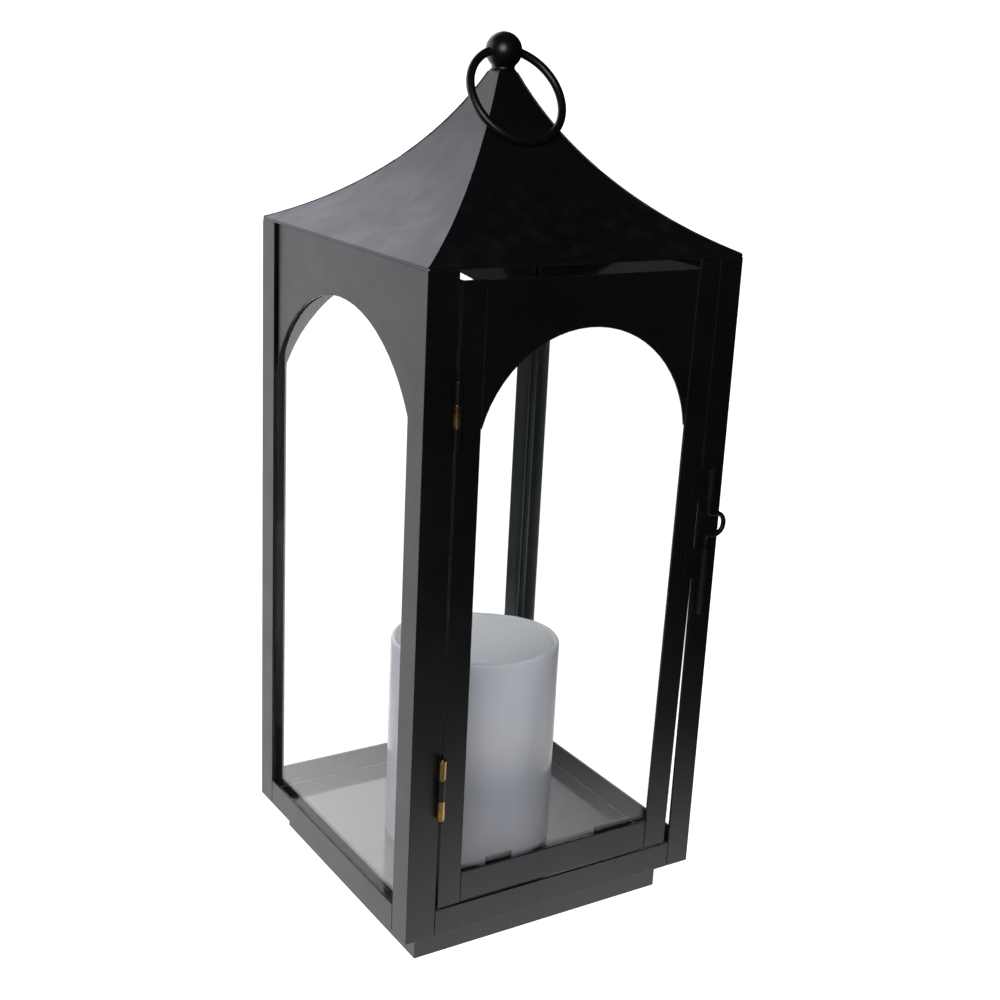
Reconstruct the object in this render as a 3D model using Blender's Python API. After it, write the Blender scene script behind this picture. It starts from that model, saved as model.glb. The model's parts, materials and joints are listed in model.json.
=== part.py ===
"""Square metal lantern with a hinged glass door, a concave hipped roof and a solar-charged LED candle.

Sizes are in millimetres and become metres where a mesh is made. +Z is up and the door faces -Y.
The origin is the middle of the base's underside, and every piece is drawn as it stands at rest.
"""

import math

import bmesh
import bpy
from mathutils import Vector

MM = 0.001
FIT = 0.3  # gap between pieces that touch

# Body: four angle-iron posts on a recessed plinth
HALF = 75.0  # half the width over the posts
POST_BOTTOM = 16.0
POST_TOP = 298.9
POST_FLANGE = 12.5
HINGE_FLANGE = 13.7  # front flanges beside the door
LATCH_FLANGE = 11.7
SHEET = 1.2  # posts, rails and door frame
THIN_SHEET = 1.0  # roof, arch panels, floor and plinth
RAIL_HEIGHT = 12.3
RAIL_LEG = 12.0
PLINTH_HALF = 64.7
PLINTH_LIP = 8.7
COVER_THICKNESS = 1.2
FLOOR_LEVEL = POST_BOTTOM + SHEET + FIT
GLASS = 2.0
PANE_HALF = 68.5
PANE_TOP = 292.0

# Side arches: a circle cut by the posts' inner edges
SIDE_ARCH_TOP = 277.0
SIDE_ARCH_RADIUS = 67.4
SIDE_PANEL_BOTTOM = 222.0
ARCH_STEPS = 28

# Roof: each slope is an arc in section, hollow side up
EAVE_HALF = 74.9
EAVE_LIP_BOTTOM = 299.2
EAVE_HEIGHT = 300.4
ROOF_TOP_HALF = 4.0
ROOF_TOP = 368.8
ROOF_SAG = 9.0
ROOF_STEPS = 12
HIP_GAP = 0.2

# Finial and carrying ring
BALL_CENTRE = 376.3
BALL_RADIUS = 7.7
BALL_FLAT = 4.6  # the ball's flat seat is this far below its centre
RING_RADIUS = 21.4
WIRE_RADIUS = 1.8
RING_HOLE_RADIUS = 2.9
RING_SLACK = 0.7  # how far the ring's crown stands above the swing axis
RING_LEAN = 34.2  # degrees from straight down, resting on the front slope
STUD_RADIUS = 2.0

# Door
DOOR_LEFT = -60.1
DOOR_BOTTOM = 29.3
DOOR_TOP = 295.2
HINGE_STILE = 10.8
HINGE_RETURN = 8.0
LATCH_RETURN = 5.0
DOOR_RAIL_TOP = 43.3
DOOR_RAIL_DEPTH = 5.6
DOOR_ARCH_X = 0.4
DOOR_ARCH_TOP = 274.0
DOOR_ARCH_RADIUS = 51.1
DOOR_ARCH_LEFT = -48.7
DOOR_ARCH_RIGHT = 51.1
PANEL_STEP = 0.3  # the arch panel sits this far behind the stiles' faces
DOOR_GLASS_RIGHT = 54.0
CLIP_SPANS = {"left": (-35.0, -22.0), "right": (22.0, 42.0)}
CLIP_SHEET = 0.8

# The latch stile is bent: (height, x) of its two long edges, from the foot up
LATCH_STILE_INNER = ((DOOR_BOTTOM, 48.7), (DOOR_TOP, 52.7))
LATCH_STILE_OUTER = ((DOOR_BOTTOM, 60.2), (150.0, 62.3), (DOOR_TOP, 62.8))

STOP_LEFT = 54.6
STOP_BOTTOM = 284.0

# Hinges: the barrels stand proud of the door's face, in front of the gap
HINGE_X = -61.5
HINGE_Y = -76.9
HINGE_WEB = -60.7  # middle of the gap that the leaves pass through
HINGE_LENGTH = 27.0
HINGE_MIDDLES = {"lower": 86.0, "upper": 243.8}
BARREL_RADIUS = 1.6
PIN_RADIUS = 0.8
PIN_CLEARANCE = 0.05
LEAF = 0.6
LEAF_REACH = 10.0  # how far the post's leaf runs behind the flange

# Latch: a wire drop bolt in two sleeves on the door, over a keeper on the post
BOLT_X = 66.7
BOLT_Y = -77.7
BOLT_RADIUS = 1.1
BOLT_BORE = 1.4
SLEEVE_RADIUS = 2.0
STRAP_LEFT = 57.2
STRAP = 0.8
STRAPS = {"lower": (159.4, 173.3), "upper": (194.9, 209.4)}
KEEPER_HALF = 3.0
KEEPER_BOTTOM = 143.0
KEEPER_TOP = 158.9
LOOP_OUT = 75.5
LOOP_BOTTOM = 178.9
LOOP_TOP = 188.6
BOLT_TOP = 206.5

# Candle
CANDLE_X = -3.0
CANDLE_Y = -4.0
CANDLE_RADIUS = 38.2
CANDLE_WALL = 2.6
CANDLE_RIM = 116.5
RIM_TILT = 1.9  # the melted rim is this much higher at the front left than its mean
RIM_TILT_AZIMUTH = math.radians(237)
RIM_WAVE = 0.6
RIM_HUMP = 1.5  # an unmelted hump at the front right
RIM_HUMP_AZIMUTH = math.radians(287)
POOL_LEVEL = 82.0
CANDLE_SIDES = 48

# Solar panel on the rear slope
PANEL_HALF = 20.0
PANEL_LOW = 65.0  # half-widths of the roof where the tray's edges rest
PANEL_HIGH = 33.0
PANEL_DEPTH = 3.0
PANEL_CLEARANCE = 0.5
PANEL_RIM = 2.0
GROMMET_AT = (PANEL_LOW + PANEL_HIGH) / 2
LEAD_RADIUS = 0.9
LEAD_CORNER = 71.2
FLOOR_PASS = 54.8

# Electronics in the plinth
BOARD_LEVEL = 12.0
CELL_RADIUS = 5.1
CELL_LENGTH = 44.0
CELL_Y = 27.0
CELL_Z = 9.6
BOSSES = ((-48.0, 48.0), (48.0, -48.0))
SWITCH_Y = -40.0

COLOURS = {
    # name: (red, green, blue), metallic, roughness
    "black_paint": ((0.012, 0.012, 0.014), 0.2, 0.38),
    "bare_brass": ((0.55, 0.34, 0.12), 1.0, 0.35),
    "steel": ((0.45, 0.45, 0.46), 1.0, 0.35),
    "clear_glass": ((0.86, 0.92, 0.90), 0.0, 0.03),
    "frosted_plastic": ((0.80, 0.80, 0.86), 0.0, 0.45),
    "flame_plastic": ((0.95, 0.72, 0.38), 0.0, 0.4),
    "black_plastic": ((0.02, 0.02, 0.022), 0.0, 0.5),
    "solar_cell": ((0.02, 0.03, 0.10), 0.1, 0.2),
    "rubber": ((0.015, 0.015, 0.015), 0.0, 0.8),
    "cable": ((0.10, 0.10, 0.10), 0.0, 0.5),
    "circuit_board": ((0.03, 0.20, 0.07), 0.0, 0.5),
    "battery_sleeve": ((0.10, 0.35, 0.16), 0.0, 0.35),
}


# ---------------------------------------------------------------- building tools


def clear_scene():
    for obj in list(bpy.data.objects):
        bpy.data.objects.remove(obj, do_unlink=True)


def make_materials():
    made = {}
    for name, (colour, metallic, roughness) in COLOURS.items():
        material = bpy.data.materials.new(name)
        material.use_nodes = True
        shader = material.node_tree.nodes["Principled BSDF"]
        shader.inputs["Base Color"].default_value = (*colour, 1.0)
        shader.inputs["Metallic"].default_value = metallic
        shader.inputs["Roughness"].default_value = roughness
        made[name] = material
    return made


def add_empty(name, place):
    """An empty on a joint's axis, which carries the pieces that the joint moves."""
    empty = bpy.data.objects.new(name, None)
    empty.location = Vector(place) * MM
    bpy.context.scene.collection.objects.link(empty)
    return empty


def carry(empty, pieces):
    for piece in pieces:
        piece.parent = empty
        piece.location -= empty.location


def add_object(name, mesh, material, place=(0, 0, 0), smooth=False):
    for slot in range(len(mesh.materials)):
        mesh.materials.pop(index=slot)
    mesh.materials.append(MATERIALS[material])
    if smooth:
        mesh.shade_smooth()
        mesh.set_sharp_from_angle(angle=math.radians(35))
    obj = bpy.data.objects.new(name, mesh)
    obj.location = Vector(place) * MM
    bpy.context.scene.collection.objects.link(obj)
    return obj


def mesh_from(name, points, faces):
    """A closed mesh from points in millimetres, with its faces turned outwards."""
    mesh = bpy.data.meshes.new(name)
    mesh.from_pydata([Vector(point) * MM for point in points], [], faces)
    shape = bmesh.new()
    shape.from_mesh(mesh)
    bmesh.ops.recalc_face_normals(shape, faces=shape.faces)
    shape.to_mesh(mesh)
    shape.free()
    return mesh


def box(name, low, high, material):
    middle = (Vector(low) + Vector(high)) / 2
    half = (Vector(high) - Vector(low)) / 2
    shape = bmesh.new()
    bmesh.ops.create_cube(shape, size=2.0)
    bmesh.ops.scale(shape, vec=half * MM, verts=shape.verts)
    mesh = bpy.data.meshes.new(name)
    shape.to_mesh(mesh)
    shape.free()
    return add_object(name, mesh, material, middle)


def prism(name, outline, axis, low, high, material, smooth=False):
    """A flat outline drawn across the axis and extruded along it from low to high.

    Outline points are (y, z) for axis x, (x, z) for axis y and (x, y) for axis z.
    """
    along = "xyz".index(axis)

    def placed(point, level):
        spot = list(point)
        spot.insert(along, level)
        return spot

    count = len(outline)
    points = [placed(point, low) for point in outline] + [placed(point, high) for point in outline]
    faces = [tuple(range(count)), tuple(range(count, 2 * count))]
    faces += [(i, (i + 1) % count, count + (i + 1) % count, count + i) for i in range(count)]
    return add_object(name, mesh_from(name, points, faces), material, smooth=smooth)


def turned(name, profile, place, material, sides=32):
    """A closed (radius, height) profile turned about the upright line through place.

    A profile that starts and ends at radius 0 gives a solid, and any other one a ring.
    """
    points, rows = [], []
    for radius, height in profile:
        turn = [2 * math.pi * i / sides for i in range(sides)] if radius else [0]
        rows.append([len(points) + i for i in range(len(turn))])
        points += [(radius * math.cos(a), radius * math.sin(a), height) for a in turn]
    faces = []
    pairs = list(zip(rows, rows[1:]))
    if profile[0][0]:
        pairs.append((rows[-1], rows[0]))
    for lower, upper in pairs:
        for i in range(sides):
            j = (i + 1) % sides
            corners = [lower[i % len(lower)], lower[j % len(lower)]]
            corners += [upper[j % len(upper)], upper[i % len(upper)]]
            faces.append(tuple(dict.fromkeys(corners)))
    return add_object(name, mesh_from(name, points, faces), material, place, smooth=True)


def rod(name, start, end, radius, material, sides=20):
    """A straight round bar between two points."""
    start, end = Vector(start), Vector(end)
    shape = bmesh.new()
    bmesh.ops.create_cone(
        shape,
        cap_ends=True,
        segments=sides,
        radius1=radius * MM,
        radius2=radius * MM,
        depth=(end - start).length * MM,
    )
    mesh = bpy.data.meshes.new(name)
    shape.to_mesh(mesh)
    shape.free()
    bar = add_object(name, mesh, material, (start + end) / 2, smooth=True)
    bar.rotation_euler = (end - start).to_track_quat("Z", "Y").to_euler()
    return bar


def wire(name, points, radius, material, resolution=2):
    """A round wire or cable along a list of points, with closed ends."""
    curve = bpy.data.curves.new(name, "CURVE")
    curve.dimensions = "3D"
    curve.bevel_depth = radius * MM
    curve.bevel_resolution = resolution
    curve.use_fill_caps = True
    spline = curve.splines.new("POLY")
    spline.points.add(len(points) - 1)
    for knot, point in zip(spline.points, points):
        knot.co = (*(Vector(point) * MM), 1.0)
    curve.materials.append(MATERIALS[material])
    obj = bpy.data.objects.new(name, curve)
    bpy.context.scene.collection.objects.link(obj)
    return obj


def combine(target, other, operation):
    """Cuts the other shape from the target, or joins it on, and keeps it out of the model."""
    change = target.modifiers.new(operation.lower() + "_" + other.name, "BOOLEAN")
    change.operation = operation
    change.object = other
    other.hide_render = True
    other.display_type = "WIRE"


def cut(target, *others):
    for other in others:
        combine(target, other, "DIFFERENCE")


def join(target, *others):
    for other in others:
        combine(target, other, "UNION")


def arc(centre, radius, start, end, steps):
    """Points on a circle from one angle to another, in radians."""
    angles = [start + (end - start) * i / steps for i in range(steps + 1)]
    return [(centre[0] + radius * math.cos(a), centre[1] + radius * math.sin(a)) for a in angles]


def rounded_path(corners, radii, steps=6):
    """A path through corners, each inner one rounded with a circular bend of its radius."""
    corners = [Vector(corner) for corner in corners]
    path = [corners[0]]
    for before, corner, after, radius in zip(corners, corners[1:], corners[2:], radii):
        inward = (before - corner).normalized()
        outward = (after - corner).normalized()
        half_angle = inward.angle(outward) / 2
        reach = radius / math.tan(half_angle)
        middle = corner + (inward + outward).normalized() * radius / math.sin(half_angle)
        first = (corner + inward * reach - middle).normalized()
        last = (corner + outward * reach - middle).normalized()
        path += [middle + first.slerp(last, i / steps) * radius for i in range(steps + 1)]
    return path + [corners[-1]]


def smooth_route(route, spacing):
    """Evenly spaced points on a Catmull-Rom curve through the route's points."""
    knots = [Vector(point) for point in route]
    knots = [2 * knots[0] - knots[1]] + knots + [2 * knots[-1] - knots[-2]]
    fine = [knots[1]]
    for a, b, c, d in zip(knots, knots[1:], knots[2:], knots[3:]):
        for i in range(1, 21):
            t = i / 20
            slope_b, slope_c = (c - a) / 2, (d - b) / 2
            point = b * (2 * t**3 - 3 * t**2 + 1) + slope_b * (t**3 - 2 * t**2 + t)
            fine.append(point + c * (3 * t**2 - 2 * t**3) + slope_c * (t**3 - t**2))
    lengths = [0.0]
    for a, b in zip(fine, fine[1:]):
        lengths.append(lengths[-1] + (b - a).length)
    count = max(2, round(lengths[-1] / spacing))
    points, at = [], 0
    for i in range(count + 1):
        wanted = lengths[-1] * i / count
        while at < len(fine) - 2 and lengths[at + 1] < wanted:
            at += 1
        share = (wanted - lengths[at]) / (lengths[at + 1] - lengths[at])
        points.append(fine[at].lerp(fine[at + 1], min(share, 1.0)))
    return points


def turn_point(point, quarter_turns):
    """A point (x, y) turned about the middle by quarter turns, the front going to the right first."""
    x, y = point
    for _ in range(quarter_turns):
        x, y = -y, x
    return x, y


# ---------------------------------------------------------------- body


def add_posts():
    inner = HALF - SHEET
    # Flange widths before and after each corner, going round with the quarter turns
    posts = {
        "post_front_left": (HINGE_FLANGE, POST_FLANGE),
        "post_front_right": (POST_FLANGE, LATCH_FLANGE),
        "post_rear_right": (POST_FLANGE, POST_FLANGE),
        "post_rear_left": (POST_FLANGE, POST_FLANGE),
    }
    for turns, (name, (before, after)) in enumerate(posts.items()):
        angle_iron = [
            (-HALF, -HALF), (before - HALF, -HALF), (before - HALF, -inner),
            (-inner, -inner), (-inner, after - HALF), (-HALF, after - HALF),
        ]
        outline = [turn_point(point, turns) for point in angle_iron]
        prism(name, outline, "z", POST_BOTTOM, POST_TOP, "black_paint")


def add_rails():
    """Angle-iron rails between the posts' feet. Their lower legs carry the floor."""
    length = HALF - POST_FLANGE - FIT
    top = POST_BOTTOM + RAIL_HEIGHT
    leg_top = POST_BOTTOM + SHEET
    inner = HALF - SHEET
    leg_end = HALF - RAIL_LEG
    section = [
        (HALF, POST_BOTTOM), (HALF, top), (inner, top),
        (inner, leg_top), (leg_end, leg_top), (leg_end, POST_BOTTOM),
    ]
    mirrored = [(-across, height) for across, height in section]
    front_left, front_right = HINGE_FLANGE + FIT - HALF, HALF - LATCH_FLANGE - FIT
    prism("rail_front", mirrored, "x", front_left, front_right, "black_paint")
    prism("rail_rear", section, "x", -length, length, "black_paint")
    prism("rail_left", mirrored, "y", -length, length, "black_paint")
    prism("rail_right", section, "y", -length, length, "black_paint")


def arch_outline(half_width, bottom, top, radius, crown, middle=0.0):
    """A panel's outline with a round-headed opening cut up into it from below."""
    centre = (middle, crown - radius)
    foot = math.asin((bottom - centre[1]) / radius)
    opening = arc(centre, radius, foot, math.pi - foot, ARCH_STEPS)
    corners = [(-half_width, bottom), (-half_width, top), (half_width, top), (half_width, bottom)]
    return corners + opening


def add_arch_panels():
    face = HALF - SHEET - FIT
    back = face - THIN_SHEET
    sides = arch_outline(
        face - 0.2, SIDE_PANEL_BOTTOM, POST_TOP, SIDE_ARCH_RADIUS, SIDE_ARCH_TOP
    )
    rear = arch_outline(
        back - FIT, SIDE_PANEL_BOTTOM, POST_TOP, SIDE_ARCH_RADIUS, SIDE_ARCH_TOP
    )
    prism("arch_panel_left", sides, "x", -face, -back, "black_paint")
    prism("arch_panel_right", sides, "x", back, face, "black_paint")
    prism("arch_panel_rear", rear, "y", back, face, "black_paint")


def add_panes():
    outer = HALF - SHEET - THIN_SHEET - 2 * FIT
    inner = outer - GLASS
    bottom = FLOOR_LEVEL + THIN_SHEET + FIT
    low, high = (inner, -PANE_HALF, bottom), (outer, PANE_HALF, PANE_TOP)
    box("pane_right", low, high, "clear_glass")
    box("pane_left", (-outer, low[1], low[2]), (-inner, high[1], high[2]), "clear_glass")
    box("pane_rear", (-PANE_HALF, inner, bottom), (PANE_HALF, outer, PANE_TOP), "clear_glass")


def square_ring(name, section, material):
    """A (half-width, height) section carried round a square, with mitred corners."""
    count = len(section)
    corners = ((-1, -1), (1, -1), (1, 1), (-1, 1))
    points = [(sx * half, sy * half, z) for sx, sy in corners for half, z in section]
    faces = []
    for side in range(4):
        here, there = side * count, (side + 1) % 4 * count
        for i in range(count):
            j = (i + 1) % count
            faces.append((here + i, here + j, there + j, there + i))
    return add_object(name, mesh_from(name, points, faces), material)


def add_base():
    """The plinth, the floor with its two screw bosses, and the screwed cover underneath."""
    top = POST_BOTTOM - FIT
    inner = PLINTH_HALF - THIN_SHEET
    lip = PLINTH_HALF - PLINTH_LIP
    section = [
        (PLINTH_HALF, 0.0), (PLINTH_HALF, top), (lip, top),
        (lip, top - THIN_SHEET), (inner, top - THIN_SHEET), (inner, 0.0),
    ]
    square_ring("plinth", section, "black_paint")

    reach = HALF - SHEET - FIT
    floor_top = FLOOR_LEVEL + THIN_SHEET
    floor = box(
        "floor_plate", (-reach, -reach, FLOOR_LEVEL), (reach, reach, floor_top), "black_paint"
    )
    cover_half = inner - FIT
    cover = box(
        "base_cover", (-cover_half, -cover_half, 0.0), (cover_half, cover_half, COVER_THICKNESS),
        "black_plastic",
    )
    boss_foot = COVER_THICKNESS + FIT
    for number, (x, y) in enumerate(BOSSES, 1):
        boss = rod(f"boss_{number}", (x, y, boss_foot), (x, y, FLOOR_LEVEL + 0.5), 3.5, "black_paint")
        join(floor, boss)
    for number, (x, y) in enumerate(BOSSES, 1):
        bore = rod(f"boss_bore_{number}", (x, y, 0.0), (x, y, 11.0), 1.5, "steel", sides=16)
        cut(floor, bore)
        head = [(0.0, 0.1), (2.6, 0.1), (1.2, 1.4), (1.2, 9.0), (0.0, 9.0)]
        seat = [(0.0, -1.0), (3.9, -1.0), (2.9, 0.0), (1.5, 1.4), (1.5, 3.0), (0.0, 3.0)]
        turned(f"base_screw_{number}", head, (x, y, 0.0), "steel", sides=16)
        cut(cover, turned(f"screw_seat_{number}", seat, (x, y, 0.0), "steel", sides=16))
    lead_hole = rod("lead_hole", (FLOOR_PASS, FLOOR_PASS, 10), (FLOOR_PASS, FLOOR_PASS, 25), 2.6, "steel")
    light_hole = rod("light_hole", (CANDLE_X, CANDLE_Y, 10), (CANDLE_X, CANDLE_Y, 25), 2.0, "steel")
    cut(floor, lead_hole, light_hole)
    slot = box("switch_slot", (-4.5, SWITCH_Y - 1.6, -1.0), (4.5, SWITCH_Y + 1.6, 3.0), "steel")
    cut(cover, slot)


# ---------------------------------------------------------------- roof and finial


def roof_circle():
    """Centre (half-width, height) and radius of the arc through eave and top with the roof's sag."""
    eave = Vector((EAVE_HALF, EAVE_HEIGHT))
    top = Vector((ROOF_TOP_HALF, ROOF_TOP))
    chord = (top - eave).length
    radius = chord**2 / (8 * ROOF_SAG) + ROOF_SAG / 2
    outward = Vector((top.y - eave.y, eave.x - top.x)).normalized()
    return (eave + top) / 2 + outward * (radius - ROOF_SAG), radius


def roof_point(half_width, depth=0.0):
    """Height of the roof's outer face where it is this wide, or of a face that deep below it."""
    centre, radius = roof_circle()
    return centre.y - math.sqrt((radius + depth) ** 2 - (centre.x - half_width) ** 2)


def roof_section():
    centre, radius = roof_circle()

    def angle_at(half_width, radius_here):
        return -math.acos((half_width - centre.x) / radius_here)

    inner_radius = radius + THIN_SHEET
    end = math.atan2(ROOF_TOP - centre.y, ROOF_TOP_HALF - centre.x)
    outer = arc(centre, radius, angle_at(EAVE_HALF, radius), end, ROOF_STEPS)
    inner = arc(centre, inner_radius, end, angle_at(EAVE_HALF - 1.3, inner_radius), ROOF_STEPS)
    return [(EAVE_HALF, EAVE_LIP_BOTTOM)] + outer + inner


def add_roof():
    section = roof_section()
    count = len(section)
    sides = {"roof_front": 0, "roof_right": 1, "roof_rear": 2, "roof_left": 3}
    for name, turns in sides.items():
        points = []
        for end in (-1, 1):
            for half, z in section:
                points.append((*turn_point((end * (half - HIP_GAP), -half), turns), z))
        faces = [tuple(range(count)), tuple(range(count, 2 * count))]
        faces += [(i, (i + 1) % count, count + (i + 1) % count, count + i) for i in range(count)]
        slope = add_object(name, mesh_from(name, points, faces), "black_paint", smooth=True)
        if name == "roof_rear":
            normal = solar_frame()[2]
            spot = Vector((0.0, GROMMET_AT, roof_point(GROMMET_AT)))
            hole = rod("grommet_hole", spot - normal * 6, spot + normal * 6, 2.5, "steel")
            cut(slope, hole)


def add_finial():
    seat = BALL_CENTRE - BALL_FLAT
    start = math.asin(-BALL_FLAT / BALL_RADIUS)
    ball_profile = [(0.0, -BALL_FLAT)] + arc((0, 0), BALL_RADIUS, start, math.pi / 2, 12)
    ball_profile[-1] = (0.0, BALL_RADIUS)
    ball = turned("finial_ball", ball_profile, (0, 0, BALL_CENTRE), "black_paint", sides=28)
    reach = BALL_RADIUS + 2
    cut(
        ball,
        rod("ring_hole", (-reach, 0, BALL_CENTRE), (reach, 0, BALL_CENTRE), RING_HOLE_RADIUS, "steel"),
        rod("stud_hole", (0, 0, seat - 3), (0, 0, seat + 1.6), STUD_RADIUS + FIT, "steel", sides=16),
    )
    collar = [
        (STUD_RADIUS + FIT, ROOF_TOP + FIT), (4.9, ROOF_TOP + FIT),
        (4.2, seat - FIT), (STUD_RADIUS + FIT, seat - FIT),
    ]
    turned("finial_collar", collar, (0, 0, 0), "black_paint", sides=24)

    plate_top = 359.2
    half = 7.0
    plate = box(
        "roof_clamp_plate", (-half, -half, plate_top - 3.0), (half, half, plate_top), "steel"
    )
    bore = rod(
        "plate_bore", (0, 0, plate_top - 8), (0, 0, plate_top + 4), STUD_RADIUS + FIT, "steel", sides=16
    )
    cut(plate, bore)
    rod("finial_stud", (0, 0, plate_top - 6), (0, 0, seat + 1.3), STUD_RADIUS, "steel", sides=16)


def add_ring():
    lean = math.radians(RING_LEAN)
    down = Vector((0.0, -math.sin(lean), -math.cos(lean)))
    middle = Vector((0, 0, BALL_CENTRE)) + down * (RING_RADIUS - RING_SLACK)
    turns, sides = 44, 10
    points, faces = [], []
    for i in range(turns):
        around = 2 * math.pi * i / turns
        outward = Vector((math.cos(around), 0, 0)) + down * math.sin(around)
        across = down.cross(Vector((1, 0, 0)))
        for j in range(sides):
            a = 2 * math.pi * j / sides
            reach = RING_RADIUS + WIRE_RADIUS * math.cos(a)
            points.append(middle + outward * reach + across * WIRE_RADIUS * math.sin(a))
            here, there = i * sides, (i + 1) % turns * sides
            k = (j + 1) % sides
            faces.append((here + j, here + k, there + k, there + j))
    ring = add_object("carry_ring", mesh_from("carry_ring", points, faces), "black_paint", smooth=True)
    carry(add_empty("ring_axis", (0, 0, BALL_CENTRE)), [ring])


# ---------------------------------------------------------------- door


def edge_at(edge, height):
    """Where one of the latch stile's long edges stands at this height."""
    for (low, foot), (high, head) in zip(edge, edge[1:]):
        if height <= high:
            break
    return foot + (head - foot) * (height - low) / (high - low)


def stile_outline(bottom, top, width=None):
    """The latch stile's face between two heights, or a strip of it along its outer edge."""
    heights = [bottom, LATCH_STILE_OUTER[1][0], top]
    outer = [(edge_at(LATCH_STILE_OUTER, height), height) for height in heights]
    if width:
        inner = [(x - width, height) for x, height in outer]
    else:
        inner = [(edge_at(LATCH_STILE_INNER, height), height) for height in heights]
    return outer + inner[::-1]


def door_arch_outline(left, top):
    """The arch panel, whose right edge follows the latch stile."""
    centre = (DOOR_ARCH_X, DOOR_ARCH_TOP - DOOR_ARCH_RADIUS)
    start = math.acos((DOOR_ARCH_RIGHT - DOOR_ARCH_X) / DOOR_ARCH_RADIUS)
    end = math.acos((DOOR_ARCH_LEFT - DOOR_ARCH_X) / DOOR_ARCH_RADIUS)
    opening = arc(centre, DOOR_ARCH_RADIUS, start, end, ARCH_STEPS)
    foot = opening[0][1]
    return opening + [
        (left, opening[-1][1]), (left, top),
        (edge_at(LATCH_STILE_INNER, top) - FIT, top),
        (edge_at(LATCH_STILE_INNER, foot) - FIT, foot),
    ]


def add_door():
    front = -HALF
    back = front + SHEET
    left_inner = DOOR_LEFT + HINGE_STILE

    left_section = [
        (DOOR_LEFT, front), (left_inner, front), (left_inner, back),
        (DOOR_LEFT + SHEET, back), (DOOR_LEFT + SHEET, front + HINGE_RETURN),
        (DOOR_LEFT, front + HINGE_RETURN),
    ]
    hinge_stile = prism("door_stile_hinge", left_section, "z", DOOR_BOTTOM, DOOR_TOP, "black_paint")

    face = stile_outline(DOOR_BOTTOM, DOOR_TOP)
    latch_stile = prism("door_stile_latch", face, "y", front, back, "black_paint")
    edge = stile_outline(DOOR_BOTTOM, STOP_BOTTOM - 1.0, SHEET)
    latch_return = prism(
        "latch_stile_return", edge, "y", front + SHEET / 2, front + LATCH_RETURN, "black_paint"
    )
    join(latch_stile, latch_return)

    rail_bottom = DOOR_BOTTOM + 0.4
    rail_right = edge_at(LATCH_STILE_INNER, rail_bottom) - FIT
    rail_back = front + DOOR_RAIL_DEPTH
    rail_section = [
        (front, rail_bottom), (front, DOOR_RAIL_TOP), (back, DOOR_RAIL_TOP),
        (back, rail_bottom + SHEET), (rail_back, rail_bottom + SHEET), (rail_back, rail_bottom),
    ]
    rail = prism("door_rail", rail_section, "x", left_inner + FIT, rail_right, "black_paint")

    outline = door_arch_outline(left_inner + FIT, DOOR_TOP - FIT)
    panel = prism("door_arch_panel", outline, "y", front + PANEL_STEP, back, "black_paint")

    glass_front = back + FIT + 0.1
    glass_back = glass_front + GLASS
    glass_foot = rail_bottom + SHEET + FIT
    glass = box(
        "door_glass",
        (DOOR_LEFT + SHEET + 1.0, glass_front, glass_foot),
        (DOOR_GLASS_RIGHT, glass_back, DOOR_TOP - 2.0),
        "clear_glass",
    )
    clips = []
    for side, (low, high) in CLIP_SPANS.items():
        spring_clip = box(
            f"door_clip_{side}", (low, glass_back + FIT, glass_foot),
            (high, glass_back + FIT + CLIP_SHEET, DOOR_RAIL_TOP + 2.2), "black_paint",
        )
        clips.append(spring_clip)
    return [hinge_stile, latch_stile, rail, panel, glass] + clips


def add_door_stop():
    """A tab behind the latch-side post, which the closed door rests against."""
    front = -HALF + SHEET + FIT
    right = HALF - SHEET - THIN_SHEET - 3 * FIT
    low, high = (STOP_LEFT, front, STOP_BOTTOM), (right, front + THIN_SHEET, POST_TOP)
    box("door_stop", low, high, "black_paint")


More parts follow.
